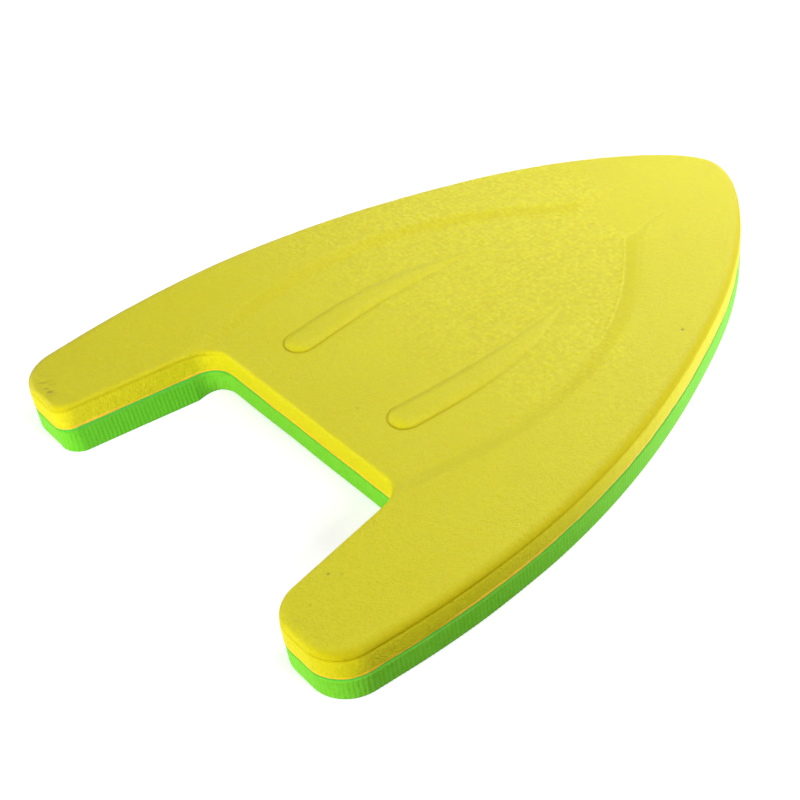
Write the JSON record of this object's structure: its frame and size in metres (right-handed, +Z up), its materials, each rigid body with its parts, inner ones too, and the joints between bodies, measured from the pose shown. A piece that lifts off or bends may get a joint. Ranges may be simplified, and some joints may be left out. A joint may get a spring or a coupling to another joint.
{
  "type": "A-shaped foam swim kickboard",
  "caption": "Foam swimming board with a pointed round nose, a wide hand notch between its legs, a pressed top panel and raised thumb ridges.",
  "frame": {"origin": "on the underside, at the middle of the bounding box", "axes": "+Y from the legs to the nose, +Z up through the top face, +X across the board"},
  "size_m": [0.3042, 0.41, 0.0298],
  "materials": {
    "top_foam": "soft matte foam skin",
    "bond_film": "satin cured adhesive",
    "bottom_foam": "soft matte ribbed foam"
  },
  "bodies": {
    "root": {"top_foam": "top_foam", "bond_film": "bond_film", "bottom_foam": "bottom_foam"}
  },
  "joints": []
}
